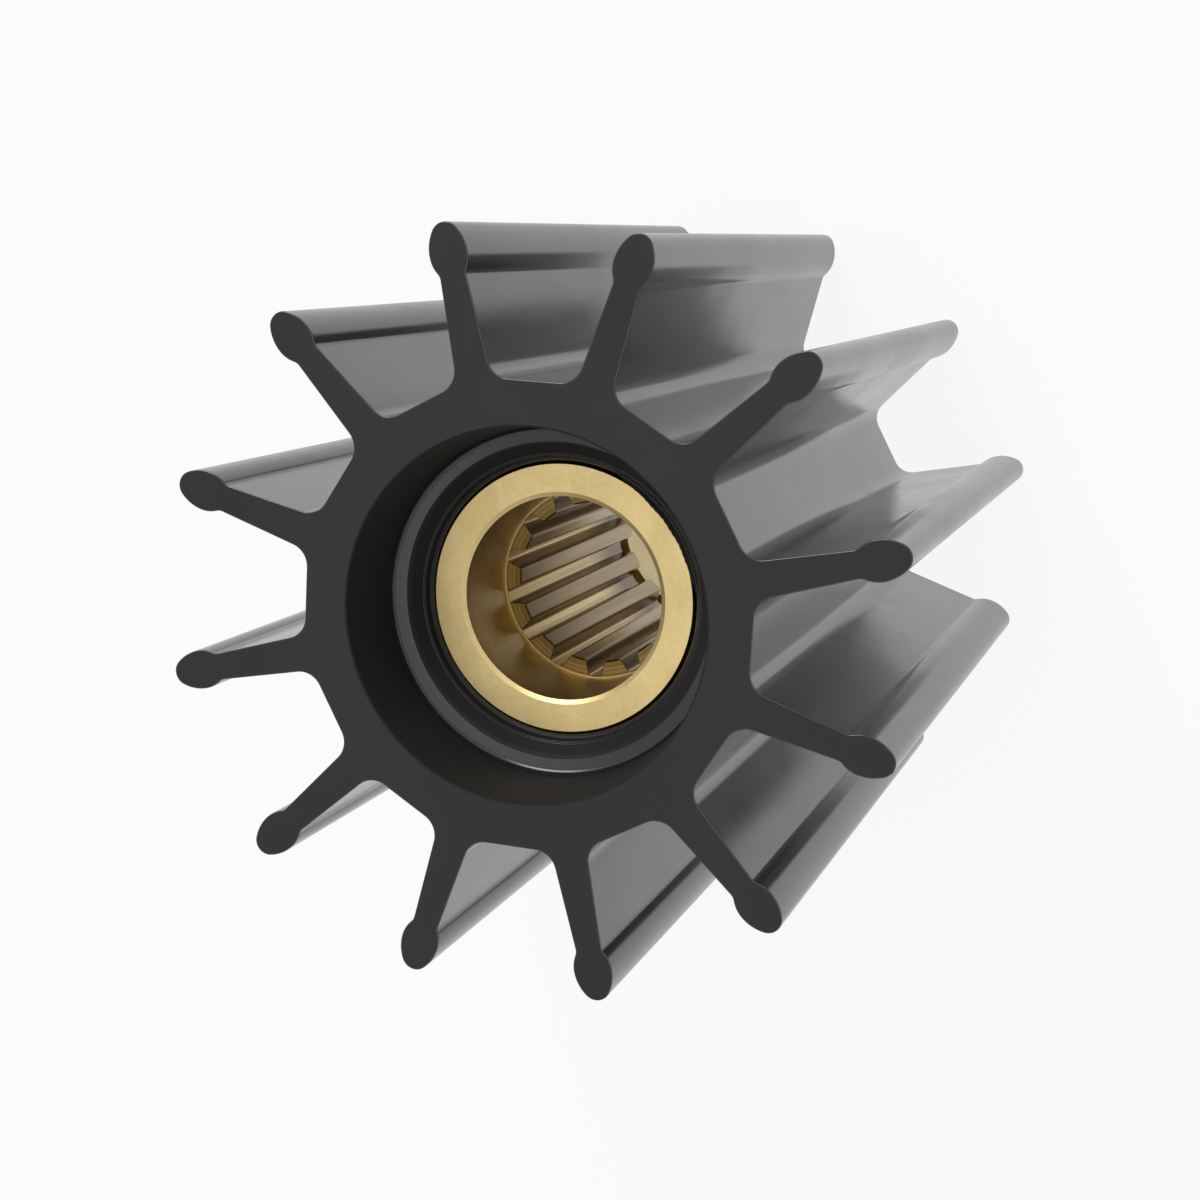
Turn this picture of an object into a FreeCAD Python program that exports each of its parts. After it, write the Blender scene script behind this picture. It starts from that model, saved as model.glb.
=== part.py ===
import FreeCAD, Part
import math
import os

# Rubber pump impeller with a splined brass bush, in millimetres.
# The axis is +Z. The rear end face lies on Z = 0 and the recessed front end faces up.

# Envelope
IMPELLER_DIAMETER = 95.0
IMPELLER_LENGTH = 99.0

# Vanes: straight, radial, with a bulb along each tip
VANE_COUNT = 12
HEAD_WIDTH = 4.9
# From the vane's tip in to the widest place of its bulb
HEAD_SETBACK = 3.8
HEAD_NOSE_RADIUS = 1.8
HEAD_SHOULDER_RADIUS = 3.9
NECK_FILLET_RADIUS = 1.4
# The web is thinnest under the bulb, and thickens towards the hub
NECK_THICKNESS = 3.4
NECK_SETBACK = 7.1
WEB_ROOT_THICKNESS = 4.6

# Hub: one flat between each pair of vanes
HUB_ACROSS_FLATS = 56.5
ROOT_FILLET_RADIUS = 2.8

# Brass bush
BUSH_OUTSIDE_DIAMETER = 35.2
BUSH_EDGE_CHAMFER = 0.6
BUSH_FRONT_SETBACK = 14.7
BUSH_REAR_SETBACK = 1.0
BORE_DIAMETER = 25.8
# Each end of the bore opens out in a steep cone
BORE_MOUTH_FLARE = 0.4
BORE_MOUTH_DEPTH = 1.6
FRONT_COUNTERBORE_DEPTH = 14.1
REAR_COUNTERBORE_DEPTH = 14.5
# The teeth end in an annular groove, which gives their cutter room to run out
RUNOUT_LENGTH = 4.7
RUNOUT_DEPTH = 1.0

# Internal spline: trapezoid teeth, whose roots stand in from the bore by a narrow ledge
SPLINE_TEETH = 14
SPLINE_TIP_DIAMETER = 21.1
SPLINE_ROOT_DIAMETER = 25.3
TOOTH_TIP_WIDTH = 2.2
TOOTH_ROOT_WIDTH = 3.9

# Front recess in the rubber, measured outwards and upwards from the bush
LIP_WIDTH = 0.6
LIP_RISE = 0.9
CONE_WIDTH = 1.6
SHELF_RISE = 2.8
SHELF_EDGE_RADIUS = 0.6
SHELF_WIDTH = 2.0
SHELF_CORNER_RADIUS = 1.2
WALL_DRAFT = 1.0

# How far cutting solids run past the faces they open
OVERCUT = 1.0

# Sizes that follow from the ones above
TIP_RADIUS = IMPELLER_DIAMETER / 2
HEAD_CENTRE_RADIUS = TIP_RADIUS - HEAD_SETBACK
VANE_PITCH = 2 * math.pi / VANE_COUNT
HUB_FLAT_RADIUS = HUB_ACROSS_FLATS / 2
BUSH_RADIUS = BUSH_OUTSIDE_DIAMETER / 2
BORE_RADIUS = BORE_DIAMETER / 2
BUSH_TOP = IMPELLER_LENGTH - BUSH_FRONT_SETBACK
SPLINE_TOP = BUSH_TOP - FRONT_COUNTERBORE_DEPTH
RUNOUT_BOTTOM = BUSH_REAR_SETBACK + REAR_COUNTERBORE_DEPTH
SPLINE_BOTTOM = RUNOUT_BOTTOM + RUNOUT_LENGTH


def point(x, y, z=0.0):
    """A point, or a direction, in space."""
    return FreeCAD.Vector(x, y, z)


def turned(vector, angle):
    """A vector of the XY plane turned about Z, anticlockwise, by an angle in radians."""
    cosine = math.cos(angle)
    sine = math.sin(angle)
    return point(vector.x * cosine - vector.y * sine, vector.x * sine + vector.y * cosine, vector.z)


def mirrored(vector):
    """The same point on the other side of a vane's middle plane, where X is zero."""
    return point(-vector.x, vector.y, vector.z)


def unit(vector):
    """The vector's direction, with length one."""
    return vector * (1 / vector.Length)


def line(start, end):
    """A straight edge."""
    return Part.LineSegment(start, end).toShape()


def arc(centre, start, end):
    """A circular edge of less than half a turn from start to end."""
    radius = (start - centre).Length
    middle = centre + unit((start - centre) + (end - centre)) * radius
    return Part.Arc(start, middle, end).toShape()


def rounded_wire(corners):
    """A closed wire through (point, radius) corners, each rounded by its own radius."""
    feet = []
    for index, (corner, radius) in enumerate(corners):
        before = unit(corners[index - 1][0] - corner)
        after = unit(corners[(index + 1) % len(corners)][0] - corner)
        half_angle = before.getAngle(after) / 2
        reach = radius / math.tan(half_angle)
        centre = corner + unit(before + after) * (radius / math.sin(half_angle))
        feet.append((corner + before * reach, corner + after * reach, centre, radius))
    edges = []
    for index, (start, end, centre, radius) in enumerate(feet):
        if radius > 0:
            edges.append(arc(centre, start, end))
        edges.append(line(end, feet[(index + 1) % len(feet)][0]))
    return Part.Wire(edges)


def turned_solid(corners):
    """The solid swept by a closed outline of (radius, height, corner radius) about the Z axis."""
    wire = rounded_wire([(point(radius, 0, height), rounding) for radius, height, rounding in corners])
    return Part.Face(wire).revolve(point(0, 0, 0), point(0, 0, 1), 360)


def cylinder(radius, bottom, top):
    """A cylinder on the Z axis between two heights."""
    return Part.makeCylinder(radius, top - bottom, point(0, 0, bottom))


class VaneSide:
    """One side of the vane that points along +Y: the places where its arcs and flats meet.

    The side is the one with positive X. From the tip inwards it is made of the bulb's nose, its
    flank, its shoulder, the hollow under it, the web and the fillet that runs into the hub's flat.
    """

    def __init__(self):
        half_head = HEAD_WIDTH / 2
        nose_height = HEAD_SETBACK - HEAD_NOSE_RADIUS
        flank_radius = (half_head**2 + nose_height**2 - HEAD_NOSE_RADIUS**2) / (
            2 * (half_head - HEAD_NOSE_RADIUS)
        )
        self.nose_centre = point(0, TIP_RADIUS - HEAD_NOSE_RADIUS)
        self.flank_centre = point(half_head - flank_radius, HEAD_CENTRE_RADIUS)
        self.nose_end = self.flank_centre + unit(self.nose_centre - self.flank_centre) * flank_radius
        self.widest = point(half_head, HEAD_CENTRE_RADIUS)
        self.shoulder_centre = point(half_head - HEAD_SHOULDER_RADIUS, HEAD_CENTRE_RADIUS)

        neck = point(NECK_THICKNESS / 2, TIP_RADIUS - NECK_SETBACK)
        root = point(WEB_ROOT_THICKNESS / 2, HUB_FLAT_RADIUS)
        web_direction = unit(root - neck)
        web_normal = turned(web_direction, math.pi / 2)
        self.neck_centre = self.hollow_centre(neck + web_normal * NECK_FILLET_RADIUS, web_direction)
        self.shoulder_end = (
            self.shoulder_centre + unit(self.neck_centre - self.shoulder_centre) * HEAD_SHOULDER_RADIUS
        )
        self.web_top = self.neck_centre - web_normal * NECK_FILLET_RADIUS

        flat_normal = turned(point(0, 1), -VANE_PITCH / 2)
        offset_web = neck + web_normal * ROOT_FILLET_RADIUS
        offset_flat = HUB_FLAT_RADIUS + ROOT_FILLET_RADIUS
        along_web = (offset_flat - offset_web.dot(flat_normal)) / web_direction.dot(flat_normal)
        self.root_centre = offset_web + web_direction * along_web
        self.web_bottom = self.root_centre - web_normal * ROOT_FILLET_RADIUS
        self.flat_end = self.root_centre - flat_normal * ROOT_FILLET_RADIUS

    def hollow_centre(self, start, direction):
        """The centre of the neck's fillet: on a line beside the web, and clear of the shoulder."""
        reach = HEAD_SHOULDER_RADIUS + NECK_FILLET_RADIUS
        offset = start - self.shoulder_centre
        along = offset.dot(direction)
        across = offset.dot(offset) - along**2
        return start + direction * (math.sqrt(reach**2 - across) - along)

    def edges(self):
        """This side's edges, as (centre or None, start, end), from the tip to the hub's flat."""
        return [
            (self.flank_centre, self.nose_end, self.widest),
            (self.shoulder_centre, self.widest, self.shoulder_end),
            (self.neck_centre, self.shoulder_end, self.web_top),
            (None, self.web_top, self.web_bottom),
            (self.root_centre, self.web_bottom, self.flat_end),
        ]


def vane_edges(side, angle):
    """The edges of one vane turned by an angle, and of the hub's flat on its clockwise side."""
    other_side = []
    for centre, start, end in side.edges():
        other_centre = mirrored(centre) if centre else None
        other_side.append((other_centre, mirrored(end), mirrored(start)))
    other_side.reverse()
    nose = [(side.nose_centre, mirrored(side.nose_end), side.nose_end)]
    flat = [(None, side.flat_end, turned(mirrored(side.flat_end), -VANE_PITCH))]
    edges = []
    for centre, start, end in other_side + nose + side.edges() + flat:
        if centre:
            edges.append(arc(turned(centre, angle), turned(start, angle), turned(end, angle)))
        else:
            edges.append(line(turned(start, angle), turned(end, angle)))
    return edges


def section_outline():
    """The closed outline of the hub with all its vanes."""
    side = VaneSide()
    edges = []
    for index in range(VANE_COUNT):
        edges.extend(vane_edges(side, -index * VANE_PITCH))
    return Part.Wire(edges)


def core_space():
    """The space inside the rubber: the bush's seat, and the front recess above it."""
    lip_radius = BUSH_RADIUS + LIP_WIDTH
    cone_radius = lip_radius + CONE_WIDTH
    wall_foot_radius = cone_radius + SHELF_WIDTH
    mouth_radius = wall_foot_radius + WALL_DRAFT
    shelf_height = BUSH_TOP + SHELF_RISE
    return turned_solid(
        [
            (0, -OVERCUT, 0),
            (BUSH_RADIUS, -OVERCUT, 0),
            (BUSH_RADIUS, BUSH_TOP - BUSH_EDGE_CHAMFER, 0),
            (lip_radius, BUSH_TOP + LIP_RISE, 0),
            (cone_radius, shelf_height, SHELF_EDGE_RADIUS),
            (wall_foot_radius, shelf_height, SHELF_CORNER_RADIUS),
            (mouth_radius, IMPELLER_LENGTH, 0),
            (mouth_radius, IMPELLER_LENGTH + OVERCUT, 0),
            (0, IMPELLER_LENGTH + OVERCUT, 0),
        ]
    )


def rubber_body():
    """The rubber moulding: hub and vanes in one piece, hollowed for the bush."""
    moulding = Part.Face(section_outline()).extrude(point(0, 0, IMPELLER_LENGTH))
    return moulding.cut(core_space())


def spline_space():
    """The broached space inside and between the spline's teeth, over the splined length."""
    pitch = 2 * math.pi / SPLINE_TEETH
    tip_radius = SPLINE_TIP_DIAMETER / 2
    root_radius = SPLINE_ROOT_DIAMETER / 2
    tip_angle = math.asin(TOOTH_TIP_WIDTH / SPLINE_TIP_DIAMETER)
    root_angle = math.asin(TOOTH_ROOT_WIDTH / SPLINE_ROOT_DIAMETER)
    axis = point(0, 0)
    edges = []
    for index in range(SPLINE_TEETH):
        middle = index * pitch
        tip_start = turned(point(tip_radius, 0), middle - tip_angle)
        tip_end = turned(point(tip_radius, 0), middle + tip_angle)
        root_start = turned(point(root_radius, 0), middle + root_angle)
        root_end = turned(point(root_radius, 0), middle + pitch - root_angle)
        next_tip = turned(tip_start, pitch)
        edges.append(arc(axis, tip_start, tip_end))
        edges.append(line(tip_end, root_start))
        edges.append(arc(axis, root_start, root_end))
        edges.append(line(root_end, next_tip))
    space = Part.Face(Part.Wire(edges)).extrude(point(0, 0, SPLINE_TOP - SPLINE_BOTTOM))
    return space.translated(point(0, 0, SPLINE_BOTTOM))


def splined_bush():
    """The brass bush: chamfered ends, a plain flared bore at each end, the spline and its groove."""
    mouth_radius = BORE_RADIUS + BORE_MOUTH_FLARE
    face_radius = BUSH_RADIUS - BUSH_EDGE_CHAMFER
    groove_radius = BORE_RADIUS + RUNOUT_DEPTH
    bottom = BUSH_REAR_SETBACK
    sleeve = turned_solid(
        [
            (mouth_radius, bottom, 0),
            (face_radius, bottom, 0),
            (BUSH_RADIUS, bottom + BUSH_EDGE_CHAMFER, 0),
            (BUSH_RADIUS, BUSH_TOP - BUSH_EDGE_CHAMFER, 0),
            (face_radius, BUSH_TOP, 0),
            (mouth_radius, BUSH_TOP, 0),
            (BORE_RADIUS, BUSH_TOP - BORE_MOUTH_DEPTH, 0),
            (BORE_RADIUS, SPLINE_BOTTOM, 0),
            (groove_radius, SPLINE_BOTTOM, 0),
            (groove_radius, RUNOUT_BOTTOM, 0),
            (BORE_RADIUS, RUNOUT_BOTTOM, 0),
            (BORE_RADIUS, bottom + BORE_MOUTH_DEPTH, 0),
        ]
    )
    spline = cylinder(BORE_RADIUS, SPLINE_BOTTOM, SPLINE_TOP).cut(spline_space())
    return sleeve.fuse(spline).removeSplitter()


def main():
    os.makedirs("parts", exist_ok=True)
    pieces = {"rubber_body": rubber_body(), "splined_bush": splined_bush()}
    for name, shape in pieces.items():
        shape.exportStep(os.path.join("parts", name + ".step"))
        print(name, "solids", len(shape.Solids), "valid", shape.isValid(), "volume", round(shape.Volume, 1))


main()
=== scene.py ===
"""Looks of a rubber pump impeller with a splined brass bush. Metres, axis +Z, rear face on Z = 0."""

import logging
import math
from collections.abc import Sequence
from dataclasses import dataclass, field
from enum import Enum, IntEnum

import bpy
import numpy as np
from mathutils import Matrix, Vector, geometry


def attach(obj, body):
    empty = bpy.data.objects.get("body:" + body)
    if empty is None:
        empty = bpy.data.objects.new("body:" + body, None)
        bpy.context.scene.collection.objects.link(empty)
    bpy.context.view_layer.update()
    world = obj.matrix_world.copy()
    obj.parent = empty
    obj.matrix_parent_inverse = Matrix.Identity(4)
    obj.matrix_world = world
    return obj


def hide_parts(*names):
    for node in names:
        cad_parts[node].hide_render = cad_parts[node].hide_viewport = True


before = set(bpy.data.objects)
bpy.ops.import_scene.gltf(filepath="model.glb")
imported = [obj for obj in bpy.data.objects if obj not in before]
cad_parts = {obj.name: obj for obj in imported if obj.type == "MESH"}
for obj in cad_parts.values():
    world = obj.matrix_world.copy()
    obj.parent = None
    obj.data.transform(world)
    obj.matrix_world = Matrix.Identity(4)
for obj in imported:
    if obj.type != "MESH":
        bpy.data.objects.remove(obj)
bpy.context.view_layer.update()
BODY = "root"
MM = 0.001

Colour = tuple[float, float, float, float]
Triple = tuple[float, float, float]
Sockets = bpy.types.bpy_prop_collection
Socket = bpy.types.NodeSocket
Tree = bpy.types.NodeTree
Material = bpy.types.Material
Piece = bpy.types.Object
WHITE: Colour = (1.0, 1.0, 1.0, 1.0)

log = logging.getLogger("impeller")


class Slot(Enum):
    """The material slots of the part's record."""

    RUBBER = "rubber"
    BRASS = "brass"


class RubberPart(IntEnum):
    """The places of the rubber that have a finish of their own."""

    FACE = 0
    SIDE = 1
    RECESS = 2
    SHELF = 3
    GROOVE = 4


class BrassPart(IntEnum):
    """The places of the brass that have a finish of their own."""

    TURNED = 0
    BORED = 1
    SPLINE = 2
    FRONT = 3
    BEVEL = 4


@dataclass(frozen=True)
class Trace:
    """A run of plane points, with the direction out of the material at each."""

    points: np.ndarray
    normals: np.ndarray

    def joined(self, *others: "Trace") -> "Trace":
        """Appends traces that each start where the last one ends, with each shared point once."""
        points = [self.points] + [other.points[1:] for other in others]
        normals = [self.normals] + [other.normals[1:] for other in others]
        return Trace(np.concatenate(points), np.concatenate(normals))

    def mirrored(self) -> "Trace":
        """The trace on the other side of the Y axis, run backwards."""
        flip = np.array([-1.0, 1.0])
        return Trace(self.points[::-1] * flip, self.normals[::-1] * flip)

    def turned(self, angle: float) -> "Trace":
        """The trace turned anticlockwise about the origin by an angle in radians."""
        return Trace(turned(self.points, angle), turned(self.normals, angle))


def turned(vectors: np.ndarray, angle: float) -> np.ndarray:
    """The plane vector, or rows of them, turned anticlockwise by an angle in radians."""
    cosine, sine = math.cos(angle), math.sin(angle)
    return np.asarray(vectors) @ np.array([[cosine, sine], [-sine, cosine]])


def unit(vector: np.ndarray) -> np.ndarray:
    """The vector's direction, with length one."""
    return vector / np.linalg.norm(vector)


def straight(start: np.ndarray, end: np.ndarray, pieces: int = 1) -> Trace:
    """A straight run whose material lies on its right.

    Args:
        start: First point.
        end: Last point.
        pieces: How many parts it is divided into.

    Returns:
        The trace.
    """
    share = np.linspace(0.0, 1.0, pieces + 1)[:, None]
    normal = turned(unit(end - start), math.pi / 2)
    return Trace(start + (end - start) * share, np.repeat(normal[None], pieces + 1, axis=0))


def arc(centre: np.ndarray, start: np.ndarray, end: np.ndarray, pieces: int) -> Trace:
    """A circular run of less than half a turn whose material lies on its right.

    Args:
        centre: Centre of the circle.
        start: First point.
        end: Last point.
        pieces: How many chords stand for it.

    Returns:
        The trace.
    """
    first, last = start - centre, end - centre
    sweep = math.atan2(first[0] * last[1] - first[1] * last[0], float(first @ last))
    spokes = np.array([turned(first, sweep * share) for share in np.linspace(0.0, 1.0, pieces + 1)])
    outward = -math.copysign(1.0, sweep) * spokes / np.linalg.norm(first)
    return Trace(centre + spokes, outward)


def rounded(corners: Sequence[Triple], pieces: int = 6) -> Trace:
    """An open run through corners, each rounded by its own radius.

    Args:
        corners: (across, up, radius) of each corner. The two ends aren't rounded.
        pieces: How many chords stand for each rounding.

    Returns:
        The trace.
    """
    places = [np.array(corner[:2]) for corner in corners]
    legs: list[Trace] = []
    leave = places[0]
    for before, here, after, corner in zip(places, places[1:], places[2:], corners[1:]):
        back, on = unit(before - here), unit(after - here)
        half_angle = math.acos(float(np.clip(back @ on, -1.0, 1.0))) / 2
        reach = corner[2] / math.tan(half_angle)
        centre = here + unit(back + on) * corner[2] / math.sin(half_angle)
        legs.append(straight(leave, here + back * reach))
        legs.append(arc(centre, here + back * reach, here + on * reach, pieces))
        leave = here + on * reach
    legs.append(straight(leave, places[-1]))
    return legs[0].joined(*legs[1:])


def inside(places: np.ndarray, loop: np.ndarray) -> np.ndarray:
    """Tells which plane points, given as rows, lie inside the closed loop of these corners."""
    start, end = loop, np.roll(loop, -1, axis=0)
    rise = np.where(start[:, 1] == end[:, 1], 1.0, end[:, 1] - start[:, 1])
    across, up = places[:, :1], places[:, 1:2]
    crossed = (start[:, 1] > up) != (end[:, 1] > up)
    at = start[:, 0] + (up - start[:, 1]) * (end[:, 0] - start[:, 0]) / rise
    return (crossed & (across < at)).sum(axis=1) % 2 == 1


class Shell:
    """A surface in the making, whose every corner has its own exact normal."""

    def __init__(self) -> None:
        """Starts with no points and no faces."""
        self.points: list[np.ndarray] = []
        self.normals: list[np.ndarray] = []
        self.faces: list[tuple[int, ...]] = []
        self.finishes: list[int] = []
        self.count = 0

    def ring(self, points: np.ndarray, normals: np.ndarray) -> np.ndarray:
        """Adds points with the directions out of the material there, and gives their numbers."""
        self.points.append(points)
        self.normals.append(normals)
        numbers = np.arange(self.count, self.count + len(points))
        self.count += len(points)
        return numbers

    def band(self, first: np.ndarray, second: np.ndarray, finish: int = 0) -> None:
        """Closes the space between two closed rings of as many points, in one finish."""
        quads = zip(first, np.roll(first, -1), np.roll(second, -1), second)
        self.faces.extend(tuple(int(corner) for corner in quad) for quad in quads)
        self.finishes.extend([finish] * len(first))

    def cap(self, outer: np.ndarray, inner: np.ndarray, finish: int = 0) -> None:
        """Fills the flat space between two closed rings that lie in one level plane.

        Args:
            outer: The numbers of the ring outside.
            inner: The numbers of the ring inside it.
            finish: Which of the piece's materials it takes.
        """
        numbers = np.concatenate([outer, inner])
        places = np.concatenate(self.points)[numbers][:, :2] / MM
        edges = [(int(i), int((i + 1) % len(outer))) for i in range(len(outer))]
        shift = len(outer)
        edges += [(shift + i, shift + (i + 1) % len(inner)) for i in range(len(inner))]
        filled = geometry.delaunay_2d_cdt([Vector(place) for place in places], edges, [], 0, 1e-6, True)
        corners = np.array([filled[0][corner] for face in filled[2] for corner in face])
        middles = corners.reshape(-1, 3, 2).mean(axis=1)
        kept = inside(middles, places[:shift]) & ~inside(middles, places[shift:])
        back = [int(numbers[sources[0]]) for sources in filled[3]]
        for face in np.array(filled[2], dtype=object)[kept]:
            self.faces.append(tuple(back[corner] for corner in face))
            self.finishes.append(finish)

    def lathe(self, profile: Trace, segments: int, finishes: Sequence[int] = ()) -> list[np.ndarray]:
        """Turns an open profile about the axis.

        Args:
            profile: Its points are (radius, height).
            segments: How many parts a turn is divided into.
            finishes: The material of each band of the profile, or nothing for the first one.

        Returns:
            The numbers of each profile point's ring.
        """
        angles = np.arange(segments) * 2 * math.pi / segments
        around = np.stack([np.cos(angles), np.sin(angles)], axis=1)
        rings = []
        for (radius, height), (out, up) in zip(profile.points, profile.normals):
            points = np.column_stack([around * radius, np.full(segments, height)])
            normals = np.column_stack([around * out, np.full(segments, up)])
            rings.append(self.ring(points, normals))
        for index, (first, second) in enumerate(zip(rings, rings[1:])):
            self.band(first, second, finishes[index] if finishes else 0)
        return rings

    def prism(self, section: Trace, rows: Sequence[Triple], finish: int = 0) -> list[np.ndarray]:
        """Stands a closed section up, with its rims rounded.

        Args:
            section: The closed outline, with its last point beside its first.
            rows: (height, inset, tilt) of each row: how far it stands back into the material, and
                its normal's slope in radians.
            finish: Which of the piece's materials it takes.

        Returns:
            The numbers of each row's ring.
        """
        rings = []
        for height, inset, tilt in rows:
            places = section.points - section.normals * inset
            points = np.column_stack([places, np.full(len(places), height)])
            level = section.normals * math.cos(tilt)
            normals = np.column_stack([level, np.full(len(places), math.sin(tilt))])
            rings.append(self.ring(points, normals))
        for first, second in zip(rings, rings[1:]):
            self.band(first, second, finish)
        return rings

    def built(self, name: str, materials: Sequence[Material]) -> Piece:
        """Makes the object.

        Args:
            name: The piece's name.
            materials: Its materials, in the order of the faces' numbers.

        Returns:
            The new object, linked to the scene.
        """
        points, normals = np.concatenate(self.points), np.concatenate(self.normals)
        faces = [self.facing(face, points, normals) for face in self.faces]
        mesh = bpy.data.meshes.new(name)
        mesh.from_pydata(points.tolist(), [], faces)
        for material in materials:
            mesh.materials.append(material)
        mesh.polygons.foreach_set("material_index", [int(finish) for finish in self.finishes])
        mesh.polygons.foreach_set("use_smooth", [True] * len(faces))
        mesh.normals_split_custom_set_from_vertices(normals.tolist())
        mesh.update()
        return linked(name, mesh)

    @staticmethod
    def facing(face: tuple[int, ...], points: np.ndarray, normals: np.ndarray) -> tuple[int, ...]:
        """Gives a face's corners, turned over if its winding points into the material."""
        corners = points[list(face)]
        winding = np.cross(corners[2] - corners[0], corners[-1] - corners[1])
        if len(face) == 3:
            winding = np.cross(corners[1] - corners[0], corners[2] - corners[0])
        return face if winding @ normals[list(face)].sum(axis=0) >= 0 else face[::-1]


def rim_rows(bottom: float, top: float, radius: float, chords: int = 4) -> list[Triple]:
    """The rows of an upright wall whose two rims are rounded.

    Args:
        bottom: Height of the lower end.
        top: Height of the upper end.
        radius: Radius of both rims.
        chords: How many chords stand for each rim.

    Returns:
        (height, inset, tilt) of each row, from the bottom up.
    """
    rows = []
    for tilt in np.linspace(-math.pi / 2, 0.0, chords + 1):
        rows.append((bottom + radius * (1 + math.sin(tilt)), radius * (1 - math.cos(tilt)), tilt))
    for tilt in np.linspace(0.0, math.pi / 2, chords + 1):
        rows.append((top - radius * (1 - math.sin(tilt)), radius * (1 - math.cos(tilt)), tilt))
    return rows


class Sheet:
    """Places nodes in one node tree and joins them."""

    def __init__(self, tree: Tree) -> None:
        """Takes the tree that the nodes go into."""
        self.tree = tree

    def add(self, kind: str, inputs: dict | None = None, **settings: object) -> bpy.types.Node:
        """Adds a node.

        Args:
            kind: Its Blender type.
            inputs: A value or an output socket for each named or numbered input.
            settings: Its own properties.

        Returns:
            The node.
        """
        node = self.tree.nodes.new(kind)
        for name, value in settings.items():
            setattr(node, name, value)
        for name, value in (inputs or {}).items():
            if isinstance(value, Socket):
                self.tree.links.new(value, node.inputs[name])
            else:
                node.inputs[name].default_value = value
        return node

    def math(self, operation: str, *values: object) -> Socket:
        """Adds a Math node over numbers or sockets, in order, and gives its output."""
        return self.add("ShaderNodeMath", dict(enumerate(values)), operation=operation).outputs[0]

    def noise(self, place: Socket, scale: Socket, detail: float, distortion: float = 0.0) -> Socket:
        """Adds a noise over a place and gives its value."""
        inputs = {"Vector": place, "Scale": scale, "Detail": detail, "Distortion": distortion}
        return self.add("ShaderNodeTexNoise", inputs).outputs[0]

    def vector(self, operation: str, *values: object) -> Sockets:
        """Adds a Vector Math node over vectors or sockets, in order, and gives its outputs."""
        return self.add("ShaderNodeVectorMath", dict(enumerate(values)), operation=operation).outputs

    def bump(self, strength: float, distance: float, height: Socket, below: Socket | None = None) -> Socket:
        """Adds a Bump node, over the normal of another one if given, and gives its normal."""
        inputs = {"Strength": strength, "Distance": distance, "Height": height}
        if below:
            inputs["Normal"] = below
        return self.add("ShaderNodeBump", inputs).outputs[0]

    def ranged(self, value: object, low: float, high: float, out_low: float, out_high: float) -> Socket:
        """Maps a value from the range low to high onto out_low to out_high, clamped."""
        inputs = {"Value": value, "From Min": low, "From Max": high, "To Min": out_low, "To Max": out_high}
        return self.add("ShaderNodeMapRange", inputs).outputs[0]

    def blended(self, share: object, first: object, second: object) -> Socket:
        """Mixes two colours or sockets, with that share of the second."""
        node = self.add("ShaderNodeMix", {0: share, 6: first, 7: second}, data_type="RGBA")
        return node.outputs[2]


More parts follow.
